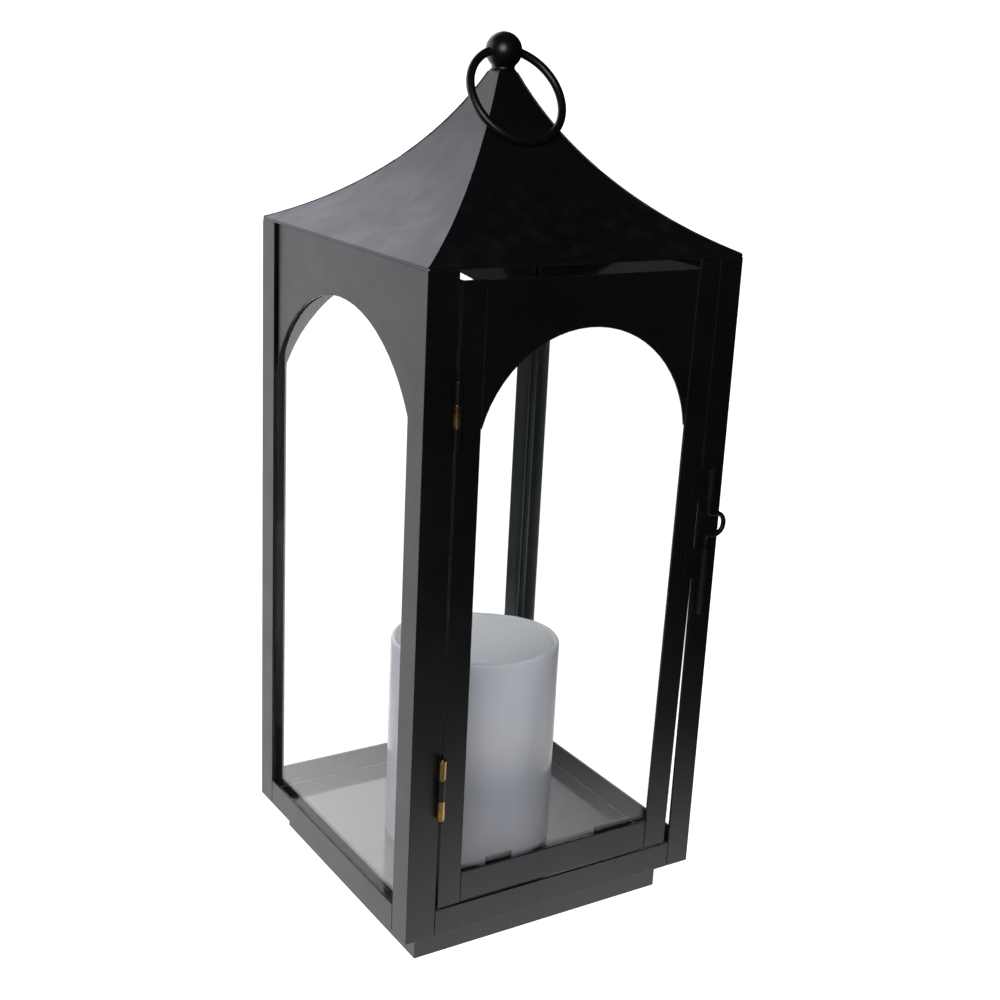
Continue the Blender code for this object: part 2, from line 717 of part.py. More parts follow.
def add_hinge(place, painted):
    """A three-knuckle butt hinge. Each leaf's webs pass back through the gap beside the door."""
    middle = HINGE_MIDDLES[place]
    low, high = middle - HINGE_LENGTH / 2, middle + HINGE_LENGTH / 2
    knuckle = (HINGE_LENGTH - 2 * FIT) / 3
    centre_low, centre_high = middle - knuckle / 2, middle + knuckle / 2
    finishes = {True: "black_paint", False: "bare_brass"}
    web_left, web_right = HINGE_WEB - LEAF / 2, HINGE_WEB + LEAF / 2
    post_front = -HALF + SHEET + FIT
    post_back = post_front + LEAF
    door_front = post_back + FIT

    post_leaf = box(
        f"{place}_hinge_post_leaf",
        (web_left - FIT - LEAF_REACH, post_front, low), (web_left - FIT, post_back, high),
        finishes["post" in painted],
    )
    door_leaf = box(
        f"{place}_hinge_door_leaf",
        (web_left, door_front, low), (web_right, -HALF + HINGE_RETURN, high),
        finishes["door" in painted],
    )
    spans = (
        (post_leaf, post_back, low, centre_low - FIT),
        (door_leaf, door_front + LEAF, centre_low, centre_high),
        (post_leaf, post_back, centre_high + FIT, high),
    )
    for number, (leaf, back, bottom, top) in enumerate(spans, 1):
        tag = f"{place}_{number}"
        start, end = (HINGE_X, HINGE_Y, bottom), (HINGE_X, HINGE_Y, top)
        barrel = rod(f"barrel_{tag}", start, end, BARREL_RADIUS, "bare_brass", sides=16)
        web_front = HINGE_Y + PIN_RADIUS + PIN_CLEARANCE
        web = box(f"web_{tag}", (web_left, web_front, bottom), (web_right, back, top), "bare_brass")
        join(leaf, barrel, web)
        if leaf is post_leaf:
            overlap = FIT + LEAF / 2
            low_corner = (web_left - overlap, post_front, bottom)
            high_corner = (web_left + LEAF / 2, post_back, top)
            join(leaf, box(f"foot_{tag}", low_corner, high_corner, "bare_brass"))
    for leaf, name in ((post_leaf, "post"), (door_leaf, "door")):
        start, end = (HINGE_X, HINGE_Y, low - 2), (HINGE_X, HINGE_Y, high + 2)
        bore_radius = PIN_RADIUS + PIN_CLEARANCE
        cut(leaf, rod(f"{place}_{name}_pin_bore", start, end, bore_radius, "bare_brass", sides=16))
    rod(
        f"{place}_hinge_pin", (HINGE_X, HINGE_Y, low - FIT), (HINGE_X, HINGE_Y, high + FIT),
        PIN_RADIUS, "bare_brass", sides=16,
    )
    return door_leaf


def add_sleeve(name, bottom, top, left, right):
    """A strap on the door or post, rolled at one side into a sleeve for the bolt."""
    back = -HALF - FIT
    strap = box(name, (left, back - STRAP, bottom), (right, back, top), "black_paint")
    sleeve = rod(
        f"{name}_roll", (BOLT_X, BOLT_Y, bottom), (BOLT_X, BOLT_Y, top), SLEEVE_RADIUS, "black_paint"
    )
    join(strap, sleeve)
    return strap


def bolt_bore(name, bottom, top):
    return rod(name, (BOLT_X, BOLT_Y, bottom), (BOLT_X, BOLT_Y, top), BOLT_BORE, "steel", sides=16)


def add_latch():
    straps = []
    for place, (bottom, top) in STRAPS.items():
        strap = add_sleeve(f"latch_strap_{place}", bottom, top, STRAP_LEFT, BOLT_X)
        cut(strap, bolt_bore(f"{place}_strap_bore", bottom - 2, top + 2))
        straps.append(strap)
    keeper = add_sleeve("latch_keeper", KEEPER_BOTTOM, KEEPER_TOP, BOLT_X - KEEPER_HALF, BOLT_X + KEEPER_HALF)
    cut(keeper, bolt_bore("keeper_bore", KEEPER_BOTTOM + 2, KEEPER_TOP + 2))

    tip = KEEPER_TOP + 0.4
    corners = [
        (BOLT_X, BOLT_Y, BOLT_TOP), (BOLT_X, BOLT_Y, LOOP_TOP), (LOOP_OUT, BOLT_Y, LOOP_TOP),
        (LOOP_OUT, BOLT_Y, LOOP_BOTTOM), (BOLT_X, BOLT_Y, LOOP_BOTTOM), (BOLT_X, BOLT_Y, tip),
    ]
    path = rounded_path(corners, [1.5, 4.6, 4.6, 1.5])
    bolt = wire("latch_bolt", path, BOLT_RADIUS, "black_paint")
    bolt_axis = add_empty("bolt_axis", (BOLT_X, BOLT_Y, KEEPER_TOP))
    carry(bolt_axis, [bolt])
    return straps, bolt_axis


# ---------------------------------------------------------------- candle


def rim_height(angle):
    tilt = RIM_TILT * math.cos(angle - RIM_TILT_AZIMUTH)
    hump = RIM_HUMP * max(0.0, math.cos(angle - RIM_HUMP_AZIMUTH)) ** 8
    return CANDLE_RIM + tilt + RIM_WAVE * math.cos(3 * angle + 0.7) + hump


def add_candle():
    foot = FLOOR_LEVEL + THIN_SHEET + FIT
    inner = CANDLE_RADIUS - CANDLE_WALL
    crest = CANDLE_RADIUS - CANDLE_WALL / 2
    place = (CANDLE_X, CANDLE_Y, 0)

    # Rows of (radius, height, whether the height is measured down from the wavy rim)
    rows = [
        (35.0, foot, False), (37.2, foot + 0.9, False), (CANDLE_RADIUS, foot + 3.4, False),
        (CANDLE_RADIUS, 1.3, True), (crest, 0.0, True), (inner, 1.3, True),
        (inner, foot + 5.2, False), (34.2, foot + 3.2, False), (34.2, foot, False),
    ]
    points, faces = [], []
    for radius, height, from_rim in rows:
        for i in range(CANDLE_SIDES):
            angle = 2 * math.pi * i / CANDLE_SIDES
            level = rim_height(angle) - height if from_rim else height
            points.append((radius * math.cos(angle), radius * math.sin(angle), level))
    for row in range(len(rows)):
        here, there = row * CANDLE_SIDES, (row + 1) % len(rows) * CANDLE_SIDES
        for i in range(CANDLE_SIDES):
            j = (i + 1) % CANDLE_SIDES
            faces.append((here + i, here + j, there + j, there + i))
    shell = mesh_from("candle_shell", points, faces)
    add_object("candle_shell", shell, "frosted_plastic", place, smooth=True)

    base = [(2.4, foot), (33.9, foot), (33.9, foot + 2.8), (2.4, foot + 2.8)]
    turned("candle_base", base, place, "black_plastic", sides=CANDLE_SIDES)
    pool = [
        (3.0, POOL_LEVEL), (35.3, POOL_LEVEL), (35.3, POOL_LEVEL + 2), (12, POOL_LEVEL + 1.5),
        (3.0, POOL_LEVEL + 1.8),
    ]
    turned("candle_pool", pool, place, "frosted_plastic", sides=CANDLE_SIDES)
    flame = [
        (0.0, POOL_LEVEL - 2.0), (2.6, POOL_LEVEL - 2.0), (2.6, POOL_LEVEL + 2.2),
        (4.6, POOL_LEVEL + 5.0), (4.2, POOL_LEVEL + 10.0), (2.2, POOL_LEVEL + 16.0),
        (0.6, POOL_LEVEL + 20.5), (0.0, POOL_LEVEL + 21.0),
    ]
    turned("candle_flame", flame, place, "flame_plastic", sides=20)
    route = [
        (0, CANDLE_Y, BOARD_LEVEL + 2.2), (CANDLE_X, CANDLE_Y, FLOOR_LEVEL + 1.0),
        (CANDLE_X, CANDLE_Y, 45.0), (CANDLE_X, CANDLE_Y, POOL_LEVEL - 2.4),
    ]
    wire("candle_lead", smooth_route(route, 5.0), 1.0, "cable")


# ---------------------------------------------------------------- solar charging


def solar_frame():
    """Middle of the panel's seat on the rear slope, its uphill direction and its outward normal."""
    low = Vector((0.0, PANEL_LOW, roof_point(PANEL_LOW)))
    high = Vector((0.0, PANEL_HIGH, roof_point(PANEL_HIGH)))
    along = (high - low).normalized()
    normal = Vector((1, 0, 0)).cross(along)
    return (low + high) / 2, along, -normal if normal.z < 0 else normal


def sloping_box(name, half, bottom, top, material):
    """A square box lying on the panel's seat, between two heights above it."""
    middle, along, normal = solar_frame()
    piece = box(name, (-half, -half, bottom), (half, half, top), material)
    offset = normal * (bottom + top) / 2
    piece.location = (middle + offset) * MM
    piece.rotation_euler = (math.atan2(-along.z, -along.y), 0, 0)
    return piece


def add_solar():
    normal = solar_frame()[2]
    spot = Vector((0.0, GROMMET_AT, roof_point(GROMMET_AT)))
    seat = PANEL_CLEARANCE
    lid = seat + PANEL_DEPTH
    pocket_half = PANEL_HALF - PANEL_RIM
    pocket_floor = seat + SHEET
    cell_half = pocket_half - FIT
    tray = sloping_box("solar_tray", PANEL_HALF, seat, lid, "black_plastic")
    pocket = sloping_box("solar_pocket", pocket_half, pocket_floor, lid + 1, "steel")
    outlet = rod("solar_outlet", spot, spot + normal * 4, 1.6, "steel", sides=16)
    cut(tray, pocket, outlet)
    sloping_box("solar_cell", cell_half, pocket_floor + FIT, lid - FIT, "solar_cell")

    outer, bore = 2.2, LEAD_RADIUS + 0.4
    ring = [(bore, -1.9), (outer, -1.9), (outer, 0.35), (3.4, 0.35), (3.4, 1.0), (bore, 1.0)]
    grommet = turned("lead_grommet", ring, (0, 0, 0), "rubber", sides=20)
    grommet.location = spot * MM
    grommet.rotation_euler = normal.to_track_quat("Z", "Y").to_euler()

    corner = LEAD_CORNER
    under = spot - normal * 4.0
    route = [
        spot + normal * 2.4, under, under + Vector((5, 2, -1.6)),
        (24, 56, 305.5), (52, 66.5, 299.6), (68, 70.8, 296.8), (corner, corner, 288),
        (corner, corner, 230), (corner, corner, 160), (corner, corner, 90), (corner, corner, 36),
        (corner - 1, corner - 1, 25), (64, 64, 21.4), (57.6, 57.6, 20.8),
        (FLOOR_PASS, FLOOR_PASS, 17.5), (52, 51, 13.8), (34, 20, 13.5), (24.0, 5, 14.4),
        (19.0, 3, BOARD_LEVEL + 2.4),
    ]
    wire("solar_lead", smooth_route(route, 5.6), LEAD_RADIUS, "cable")


def add_electronics():
    top = FLOOR_LEVEL - FIT
    half = CELL_LENGTH / 2
    low, high = (-half - 4, CELL_Y - 8, 3.0), (half + 4, CELL_Y + 8, top)
    tray = box("battery_box", low, high, "black_plastic")
    pocket = box(
        "battery_pocket", (-half - 2.2, CELL_Y - 6.2, 0.0), (half + 2.2, CELL_Y + 6.2, top - 1.5), "steel"
    )
    cut(tray, pocket)
    body = [
        (0.0, -half), (CELL_RADIUS, -half), (CELL_RADIUS, half - 1.2), (1.9, half - 1.2),
        (1.9, half), (0.0, half),
    ]
    cell = turned("battery_cell", body, (0, CELL_Y, CELL_Z), "battery_sleeve", sides=20)
    cell.rotation_euler = (0, math.pi / 2, 0)

    board = box("circuit_board", (-24, -20, BOARD_LEVEL), (24, 10, BOARD_LEVEL + 1.2), "circuit_board")
    chip = box("chip", (-16, -16, BOARD_LEVEL - 1.6), (-9, -10, BOARD_LEVEL + 0.6), "black_plastic")
    coil = rod("coil", (10, -10, BOARD_LEVEL - 4), (10, -10, BOARD_LEVEL + 0.6), 3.0, "black_plastic")
    join(board, chip, coil)

    body = box(
        "switch_body", (-6.5, SWITCH_Y - 3, COVER_THICKNESS + FIT), (6.5, SWITCH_Y + 3, 8.0), "black_plastic"
    )
    track = box("switch_track", (-4.5, SWITCH_Y - 1.6, 0.0), (4.5, SWITCH_Y + 1.6, 4.2), "steel")
    cut(body, track)
    slider = box("switch_slider", (-3.6, SWITCH_Y - 1.2, 0.4), (-0.4, SWITCH_Y + 1.2, 3.8), "black_plastic")
    carry(add_empty("switch_axis", (-2.0, SWITCH_Y, 2.0)), [slider])


# ---------------------------------------------------------------- assembly

clear_scene()
MATERIALS = make_materials()
add_posts()
add_rails()
add_arch_panels()
add_panes()
add_base()
add_roof()
add_finial()
add_ring()
add_door_stop()
door_pieces = add_door()
door_pieces.append(add_hinge("upper", painted=("post",)))
door_pieces.append(add_hinge("lower", painted=("door",)))
latch_straps, bolt_axis = add_latch()
door_axis = add_empty("door_axis", (HINGE_X, HINGE_Y, DOOR_BOTTOM))
carry(door_axis, door_pieces + latch_straps + [bolt_axis])
add_candle()
add_solar()
add_electronics()
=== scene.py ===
"""Looks of the square metal lantern: powder coat, glass, brass, frosted candle, and the studio.

The lantern stands at the origin with its door towards -Y. Blender's own lengths are metres. The
sizes of the finer pieces are in millimetres, and add_piece turns them into metres.
"""

import math

import bmesh
import bpy
from mathutils import Matrix, Vector, noise
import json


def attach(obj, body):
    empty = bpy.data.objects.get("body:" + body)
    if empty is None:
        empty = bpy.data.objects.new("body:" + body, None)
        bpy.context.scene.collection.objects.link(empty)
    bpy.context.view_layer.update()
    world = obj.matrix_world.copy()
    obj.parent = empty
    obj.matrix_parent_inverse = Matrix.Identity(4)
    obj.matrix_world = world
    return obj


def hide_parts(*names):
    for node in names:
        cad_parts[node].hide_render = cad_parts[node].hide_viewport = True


MM = 0.001
LANTERN = "lantern_body"
SHARP_ANGLE = math.radians(50)

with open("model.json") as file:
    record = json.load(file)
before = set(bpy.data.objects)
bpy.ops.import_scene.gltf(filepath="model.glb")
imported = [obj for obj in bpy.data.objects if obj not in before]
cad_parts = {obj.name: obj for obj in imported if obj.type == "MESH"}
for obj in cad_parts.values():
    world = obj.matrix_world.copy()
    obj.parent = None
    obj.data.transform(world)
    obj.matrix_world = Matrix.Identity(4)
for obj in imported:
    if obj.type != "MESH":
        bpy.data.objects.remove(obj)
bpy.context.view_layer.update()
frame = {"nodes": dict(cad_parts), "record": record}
nodes = frame["nodes"]


# ---------------------------------------------------------------- shader graphs


class Graph:
    """The node tree of a material or world, with short calls to add and join its nodes."""

    def __init__(self, owner, ending):
        owner.use_nodes = True
        self.owner = owner
        self.tree = owner.node_tree
        self.tree.nodes.clear()
        self.output = self.node(ending)
        self.coordinates = self.node("TexCoord").outputs
        self.place = self.coordinates["Object"]

    def node(self, kind, settings=None, **inputs):
        """A node with its settings and inputs; an input may be a value or a node's socket."""
        made = self.tree.nodes.new("ShaderNode" + kind)
        for name, value in (settings or {}).items():
            setattr(made, name, value)
        for name, value in inputs.items():
            self.feed(made, name.replace("_", " "), value)
        return made

    def feed(self, node, name, value):
        """Sets or joins an input, which is called by its name or number."""
        socket = node.inputs[int(name)] if name.isdigit() else node.inputs[name]
        if isinstance(value, bpy.types.NodeSocket):
            self.tree.links.new(value, socket)
        else:
            socket.default_value = value

    def noise(self, scale, detail=2.0, roughness=0.5, stretch=(1, 1, 1)):
        """Noise whose marks are about 1/scale metres across, from 0 to 1."""
        place = self.node("Mapping", Vector=self.place, Scale=stretch).outputs[0]
        made = self.node("TexNoise", Vector=place, Scale=scale, Detail=detail, Roughness=roughness)
        return made.outputs["Fac"]

    def ramp(self, value, low, high, bottom=0.0, top=1.0):
        """value from low to high taken to bottom to top, with a soft start and end."""
        made = self.node("MapRange", {"interpolation_type": "SMOOTHSTEP"}, Value=value)
        limits = (("From Min", low), ("From Max", high), ("To Min", bottom), ("To Max", top))
        for name, number in limits:
            made.inputs[name].default_value = number
        return made.outputs[0]

    def math(self, operation, first, second=0.0):
        """A sum on numbers; a product is kept from 0 to 1, since only shares are multiplied."""
        made = self.node("Math", {"operation": operation, "use_clamp": operation == "MULTIPLY"})
        self.feed(made, "0", first)
        self.feed(made, "1", second)
        return made.outputs[0]

    def vector_math(self, operation, first, second=None, result="Value"):
        made = self.node("VectorMath", {"operation": operation})
        self.feed(made, "0", first)
        if second is not None:
            self.feed(made, "1", second)
        return made.outputs[result]

    def along(self, axis, vector):
        """One coordinate of a vector."""
        return self.node("SeparateXYZ", Vector=vector).outputs[axis]

    def mix(self, share, first, second):
        """One colour going over into another."""
        made = self.node("Mix", {"data_type": "RGBA"})
        self.feed(made, "0", share)
        self.feed(made, "6", first if isinstance(first, bpy.types.NodeSocket) else (*first, 1))
        self.feed(made, "7", second if isinstance(second, bpy.types.NodeSocket) else (*second, 1))
        return made.outputs[2]

    def bump(self, height, distance, strength=1.0, under=None):
        """A relief of the given depth, over another if there is one."""
        made = self.node("Bump", Height=height, Distance=distance, Strength=strength)
        if under is not None:
            self.feed(made, "Normal", under)
        return made.outputs[0]

    def edges(self, radius):
        """1 along the edges of the shape and 0 on its faces."""
        rounded = self.node("Bevel", {"samples": 4}, Radius=radius).outputs[0]
        flat = self.node("NewGeometry").outputs["Normal"]
        turned = self.math("SUBTRACT", 1.0, self.vector_math("DOT_PRODUCT", rounded, flat))
        return self.ramp(turned, 0.03, 0.25)

    def facing_up(self, low, high):
        """1 where the surface faces up and 0 where it doesn't."""
        return self.ramp(self.along("Z", self.node("NewGeometry").outputs["Normal"]), low, high)

    def blend(self, share, first, second):
        """One shader going over into another."""
        made = self.node("MixShader", Fac=share)
        self.tree.links.new(first, made.inputs[1])
        self.tree.links.new(second, made.inputs[2])
        return made.outputs[0]

    def finish(self, shader):
        """Joins a shader's socket to the output."""
        self.tree.links.new(shader, self.output.inputs[0])

    def surface(self, **inputs):
        """The Principled shader, joined to the output."""
        shader = self.node("BsdfPrincipled", **inputs)
        self.finish(shader.outputs[0])
        return shader


def material_graph(name):
    return Graph(bpy.data.materials.new(name), "OutputMaterial")


DUST = (0.35, 0.34, 0.33)
DUST_MOST = 0.035
SPECK = (0.4, 0.4, 0.4)
SPECK_SHARE = 0.05
RUBBED_PAINT = (0.075, 0.075, 0.08)
GAP_SHADE_SPECULAR = 0.04
USUAL_SPECULAR = 0.5


def powder_coat(
    name, colour=(0.0042, 0.0042, 0.0054), rough=(0.34, 0.39), wear=0.4, shaded_side=False
):
    """Satin black powder coat: fine orange peel, a little dust on top faces, rubbed edges."""
    g = material_graph(name)
    cloud = g.noise(18.0, detail=4.0)
    smudge = g.noise(55.0, detail=3.0, roughness=0.6)
    specks = g.ramp(g.noise(1400.0, detail=1.0), 0.70, 0.78)
    lighter = tuple(c * 1.9 for c in colour)
    paint = g.mix(g.ramp(cloud, 0.3, 0.7), colour, lighter)
    dust = g.ramp(g.noise(140.0, detail=6.0), 0.45, 0.75, 0, DUST_MOST)
    paint = g.mix(g.math("MULTIPLY", g.facing_up(0.6, 1.0), dust), paint, DUST)
    paint = g.mix(g.math("MULTIPLY", specks, SPECK_SHARE), paint, SPECK)
    patchy = g.ramp(g.noise(260.0, detail=3.0), 0.38, 0.62, 0.15, 1.0)
    rubbed = g.math("MULTIPLY", g.edges(0.5 * MM), patchy)
    paint = g.mix(g.math("MULTIPLY", rubbed, wear), paint, RUBBED_PAINT)
    peel = g.noise(900.0, detail=1.5)
    grain = g.noise(5200.0, detail=1.0)
    relief = g.bump(peel, 0.028 * MM, 0.55)
    relief = g.bump(grain, 0.006 * MM, 0.5, relief)
    roughness = g.ramp(smudge, 0.3, 0.7, *rough)
    shader = g.surface(Base_Color=paint, Roughness=roughness, IOR=1.52, Normal=relief)
    if shaded_side:
        # The side that faces the hinges gets little specular, as painted shade that darkens the gap
        # between the post and the hinge stile
        side = g.along("X", g.coordinates["Normal"])
        specular = g.ramp(side, -0.8, -0.5, GAP_SHADE_SPECULAR, USUAL_SPECULAR)
        g.feed(shader, "Specular IOR Level", specular)
    return g.owner


def bare_brass():
    """Uncoated hinge brass: brushed, with patches of dark tarnish."""
    g = material_graph("bare_brass")
    brushed = g.noise(900.0, detail=2.0, stretch=(1, 1, 0.06))
    tarnish = g.ramp(g.noise(190.0, detail=5.0), 0.42, 0.66)
    metal = g.mix(g.ramp(brushed, 0.3, 0.7), (0.72, 0.46, 0.19), (0.50, 0.29, 0.11))
    metal = g.mix(g.math("MULTIPLY", tarnish, 0.75), metal, (0.055, 0.035, 0.022))
    rough = g.ramp(tarnish, 0.0, 1.0, 0.26, 0.55)
    relief = g.bump(brushed, 0.012 * MM, 0.6)
    g.surface(Base_Color=metal, Metallic=1.0, Roughness=rough, Normal=relief)
    return g.owner


def plated_steel():
    """Zinc-plated fasteners: fine spangle and turning marks."""
    g = material_graph("plated_steel")
    spangle = g.noise(700.0, detail=3.0)
    metal = g.mix(g.ramp(spangle, 0.3, 0.7), (0.42, 0.42, 0.44), (0.62, 0.61, 0.58))
    rough = g.ramp(spangle, 0.2, 0.8, 0.24, 0.42)
    relief = g.bump(g.noise(2600.0, detail=2.0), 0.01 * MM, 0.6)
    g.surface(Base_Color=metal, Metallic=1.0, Roughness=rough, Normal=relief)
    return g.owner


def clear_glass(name, axis):
    """Float glass with faint wiping marks. Lamps shine through it, as through a thin pane.

    Its seamed edges, whose normals lie across the pane's own axis, are ground and look green.
    """
    g = material_graph(name)
    streaks = g.noise(26.0, detail=5.0, roughness=0.65, stretch=(1, 1, 0.35))
    rough = g.ramp(streaks, 0.45, 0.8, 0.0, 0.045)
    pane = g.node("BsdfPrincipled", Base_Color=(0.985, 0.995, 0.992, 1), Roughness=rough, IOR=1.5)
    pane.inputs["Transmission Weight"].default_value = 1.0
    clear = g.node("BsdfTransparent", Color=(0.93, 0.95, 0.945, 1))
    ray = g.node("LightPath").outputs["Is Shadow Ray"]
    face = g.blend(ray, pane.outputs[0], clear.outputs[0])

    ground = g.noise(1200.0, detail=3.0)
    tint = g.mix(g.ramp(ground, 0.3, 0.7), (0.045, 0.085, 0.078), (0.12, 0.17, 0.16))
    seam = g.node("BsdfPrincipled", Base_Color=tint, Roughness=0.32)
    g.feed(seam, "Normal", g.bump(ground, 0.03 * MM, 0.8))
    normal = g.along(axis, g.coordinates["Normal"])
    on_edge = g.math("LESS_THAN", g.math("ABSOLUTE", normal), 0.5)
    g.finish(g.blend(on_edge, face, seam.outputs[0]))
    return g.owner


# Painted shade for the candle below its pool, and painted light for its inner wall
PAINTED_SHADE_WAX = (0.36, 0.365, 0.44)
PAINTED_LIGHT_WAX = (0.93, 0.93, 0.98)
POOL_HEIGHT = 0.072  # metres above the base, as are the heights about it
PAINTED_LIGHT_REACH = (0.0364, 0.0372)  # metres from the middle, from all inside to all outside


def frosted_wax(name, colour, deep, rough=(0.36, 0.5), pool=None):
    """Translucent frosted plastic with the look of wax."""
    g = material_graph(name)
    cloud = g.noise(24.0, detail=4.0, stretch=(1, 1, 0.55))
    bloom = g.noise(130.0, detail=4.0)
    wax = g.mix(g.ramp(cloud, 0.3, 0.72), colour, deep)
    if pool is not None:
        # Below the pool the wax is painted darker, as painted shade; the inner wall is painted
        # pale, as painted light
        below = g.ramp(g.along("Z", g.place), pool - 0.02, pool + 0.012, 1.0, 0.0)
        wax = g.mix(g.math("MULTIPLY", below, 0.75), wax, PAINTED_SHADE_WAX)
        level = g.vector_math("MULTIPLY", g.place, (1, 1, 0), "Vector")
        inside = g.ramp(g.vector_math("LENGTH", level), *PAINTED_LIGHT_REACH, 0.85, 0.0)
        wax = g.mix(inside, wax, PAINTED_LIGHT_WAX)
    relief = g.bump(g.noise(60.0, detail=2.0), 0.12 * MM, 0.5)
    relief = g.bump(g.noise(1100.0, detail=2.0), 0.012 * MM, 0.5, relief)
    roughness = g.ramp(bloom, 0.3, 0.7, *rough)
    shader = g.surface(Base_Color=wax, Roughness=roughness, IOR=1.45, Normal=relief)
    shader.inputs["Subsurface Weight"].default_value = 1.0
    shader.inputs["Subsurface Radius"].default_value = (0.9, 0.95, 1.0)
    shader.inputs["Subsurface Scale"].default_value = 5.0 * MM
    shader.inputs["Coat Weight"].default_value = 0.5
    shader.inputs["Coat Roughness"].default_value = 0.12
    return g.owner


def paler(colour, times, more):
    return tuple(min(1.0, c * times + more) for c in colour)


def moulded_plastic(name, colour, rough=(0.42, 0.58)):
    """Spark-textured injection-moulded plastic."""
    g = material_graph(name)
    cloud = g.noise(70.0, detail=4.0)
    body = g.mix(g.ramp(cloud, 0.3, 0.7), colour, paler(colour, 1.35, 0.004))
    scuffed = g.math("MULTIPLY", g.edges(0.35 * MM), 0.35)
    body = g.mix(scuffed, body, paler(colour, 2, 0.03))
    relief = g.bump(g.noise(2400.0, detail=2.0), 0.025 * MM, 0.6)
    g.surface(Base_Color=body, Roughness=g.ramp(cloud, 0.3, 0.7, *rough), IOR=1.5, Normal=relief)
    return g.owner


# Half the pitch and half the width of the cell's silver lines
BAR_PITCH, BAR_HALF = 4.5 * MM, 0.35 * MM
FINGER_PITCH, FINGER_HALF = 0.6 * MM, 0.08 * MM


def photovoltaic():
    """A blue-black cell under resin, with silver bars down the slope and fingers across it."""
    g = material_graph("solar_cell")
    bar_way = g.math("PINGPONG", g.along("X", g.place), BAR_PITCH)
    finger_way = g.math("PINGPONG", g.along("Z", g.place), FINGER_PITCH)
    bar = g.math("LESS_THAN", bar_way, BAR_HALF)
    finger = g.math("LESS_THAN", finger_way, FINGER_HALF)
    crystal = g.ramp(g.noise(160.0, detail=3.0), 0.35, 0.65)
    silicon = g.mix(crystal, (0.004, 0.007, 0.028), (0.008, 0.014, 0.05))
    face = g.mix(g.math("MULTIPLY", finger, 0.35), silicon, (0.20, 0.21, 0.24))
    face = g.mix(bar, face, (0.34, 0.35, 0.37))
    rough = g.ramp(g.noise(45.0, detail=3.0), 0.3, 0.7, 0.09, 0.17)
    shader = g.surface(Base_Color=face, Roughness=rough, IOR=1.5)
    shader.inputs["Coat Weight"].default_value = 0.6
    return g.owner


# ---------------------------------------------------------------- CAD nodes


WELD_DISTANCE = 0.002 * MM
FLAT_ANGLE = math.radians(0.3)
ROUNDED_ANGLE = math.radians(28.0)


def soften(node, width):
    """Rounds a CAD node's edges and shades it smooth, leaving its own mesh as packed."""
    mesh = node.data
    custom = mesh.attributes.get("custom_normal")
    if custom is not None:
        mesh.attributes.remove(custom)
    mesh.shade_smooth()
    weld = node.modifiers.new("weld", "WELD")
    weld.merge_threshold = WELD_DISTANCE
    flat = node.modifiers.new("flat", "DECIMATE")
    flat.decimate_type = "DISSOLVE"
    flat.angle_limit = FLAT_ANGLE
    if width > 0:
        edge = node.modifiers.new("edge", "BEVEL")
        edge.width = width
        edge.segments = 2
        edge.limit_method = "ANGLE"
        edge.angle_limit = ROUNDED_ANGLE
        edge.harden_normals = True
    split = node.modifiers.new("split", "EDGE_SPLIT")
    split.split_angle = SHARP_ANGLE


coat = powder_coat("black_paint")
# A copy of the black paint with painted shade on its hinge-facing side, for the hinge stile
shaded_gap_coat = powder_coat("shaded_gap_coat", shaded_side=True)
satin = powder_coat("satin_paint", rough=(0.30, 0.38), wear=0.2)
brass = bare_brass()
steel = plated_steel()
glass = clear_glass("clear_glass", "X")
cross_glass = clear_glass("cross_glass", "Y")
floor_coat = powder_coat("floor_coat", (0.010, 0.011, 0.011), (0.08, 0.14), wear=0.3)
plastic = moulded_plastic("black_plastic", (0.014, 0.014, 0.015))
rubber = moulded_plastic("rubber", (0.012, 0.012, 0.012), (0.6, 0.75))
cable = moulded_plastic("cable", (0.02, 0.02, 0.021), (0.4, 0.5))
board = moulded_plastic("circuit_board", (0.012, 0.09, 0.035), (0.3, 0.45))
sleeve = moulded_plastic("battery_sleeve", (0.03, 0.16, 0.07), (0.25, 0.4))
cell = photovoltaic()
wax = frosted_wax("frosted_plastic", (0.70, 0.69, 0.74), (0.64, 0.635, 0.71), pool=POOL_HEIGHT)
flame_wax = frosted_wax("flame_plastic", (0.85, 0.70, 0.45), (0.80, 0.60, 0.35), (0.2, 0.3))

# The material of each slot, and the width of its rounded edges
FINISHES = {
    "black_paint": (coat, 0.22 * MM),
    "bare_brass": (brass, 0.08 * MM),
    "steel": (steel, 0.15 * MM),
    "clear_glass": (glass, 0.0),
    "frosted_plastic": (wax, 0.0),
    "flame_plastic": (flame_wax, 0.0),
    "black_plastic": (plastic, 0.25 * MM),
    "solar_cell": (cell, 0.1 * MM),
    "rubber": (rubber, 0.0),
    "cable": (cable, 0.0),
    "circuit_board": (board, 0.05 * MM),
    "battery_sleeve": (sleeve, 0.0),
}
OWN_MATERIAL = {
    "pane_rear": cross_glass,
    "door_glass": cross_glass,
    "floor_plate": floor_coat,
    "door_stile_hinge": shaded_gap_coat,
}
FINE = ("hinge", "latch", "clip", "ring", "ball", "collar", "switch", "door_stop")
FINE_EDGE = 0.14 * MM

slots = {part["node"]: part["material_slot"] for part in frame["record"]["subparts"]}
for name, node in nodes.items():
    material, width = FINISHES[slots[name]]
    if any(word in name for word in FINE):
        width = min(width, FINE_EDGE)
    node.data.materials.clear()
    node.data.materials.append(OWN_MATERIAL.get(name, material))
    soften(node, width)


# ---------------------------------------------------------------- finer pieces


